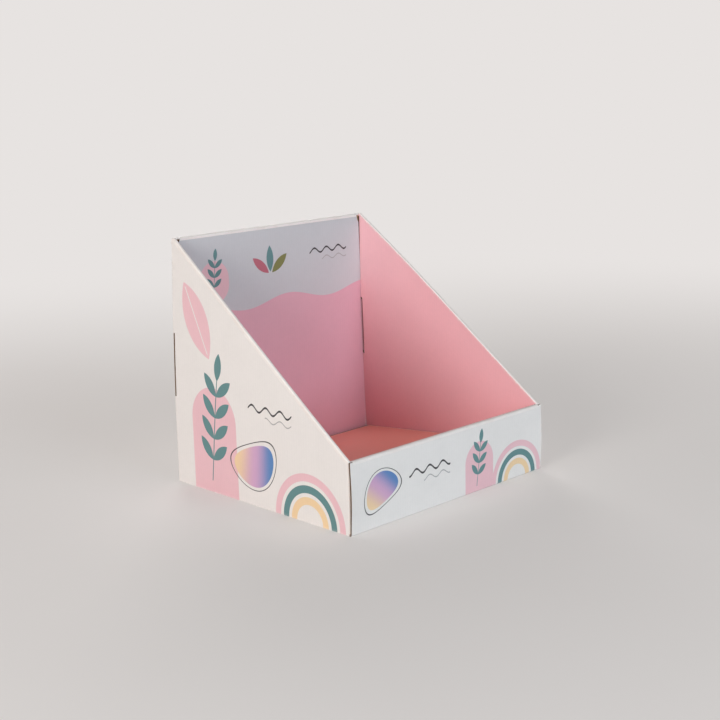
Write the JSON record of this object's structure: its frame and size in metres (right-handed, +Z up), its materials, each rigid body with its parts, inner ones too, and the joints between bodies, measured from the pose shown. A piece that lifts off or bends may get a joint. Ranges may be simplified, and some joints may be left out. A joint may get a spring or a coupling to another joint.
{
  "type": "cardboard display box",
  "caption": "Open counter display box of folded corrugated board: low front, tall back with a roll-over lining, sloping double side walls and a lift-up floor that slopes down to the back.",
  "frame": {"origin": "centre of the underside", "axes": "+Z up, -Y towards the low front, +X across the width"},
  "size_m": [0.275, 0.254, 0.25],
  "materials": {
    "outside_white": "white coated liner, printed, satin varnish",
    "inside_pink": "coated liner printed pink, satin varnish",
    "fold_cream": "creased coated liner, matt where the coating has stretched",
    "bare_brown": "bare kraft liner and cut fluting, matt"
  },
  "bodies": {
    "shell": {"back_panel": "outside_white", "base_panel": "outside_white", "left_side_panel": "outside_white", "right_side_panel": "outside_white", "left_slope_fold": "fold_cream", "right_slope_fold": "fold_cream", "left_inner_panel": "inside_pink", "right_inner_panel": "inside_pink", "left_front_flap": "bare_brown", "right_front_flap": "bare_brown", "front_panel": "outside_white", "front_top_fold": "fold_cream"},
    "top_fold": {"back_top_fold": "fold_cream"},
    "liner": {"back_liner": "inside_pink", "left_lock_ear": "bare_brown", "right_lock_ear": "bare_brown"},
    "front_lining": {"front_inner_panel": "inside_pink"},
    "floor": {"floor_panel": "inside_pink"}
  },
  "joints": [
    {"name": "back_fold", "type": "hinge", "parent": "shell", "child": "top_fold", "pos_m": [0, 0.127, 0.25], "axis": [-1, 0, 0], "range_deg": [0, 90]},
    {"name": "liner_fold", "type": "hinge", "parent": "top_fold", "child": "liner", "pos_m": [0, 0.1234, 0.25], "axis": [-1, 0, 0], "range_deg": [0, 90], "deforming": ["left_lock_ear", "right_lock_ear"]},
    {"name": "front_inner_fold", "type": "hinge", "parent": "shell", "child": "front_lining", "pos_m": [0, -0.1214, 0.0695], "axis": [1, 0, 0], "range_deg": [0, 34]},
    {"name": "floor_fold", "type": "hinge", "parent": "front_lining", "child": "floor", "pos_m": [0, -0.1214, 0.0275], "axis": [1, 0, 0], "range_deg": [0, 85]}
  ],
  "couplings": [
    {"joint": "back_fold", "follows": "liner_fold", "ratio": 1},
    {"joint": "front_inner_fold", "follows": "floor_fold", "ratio": 0.4}
  ]
}
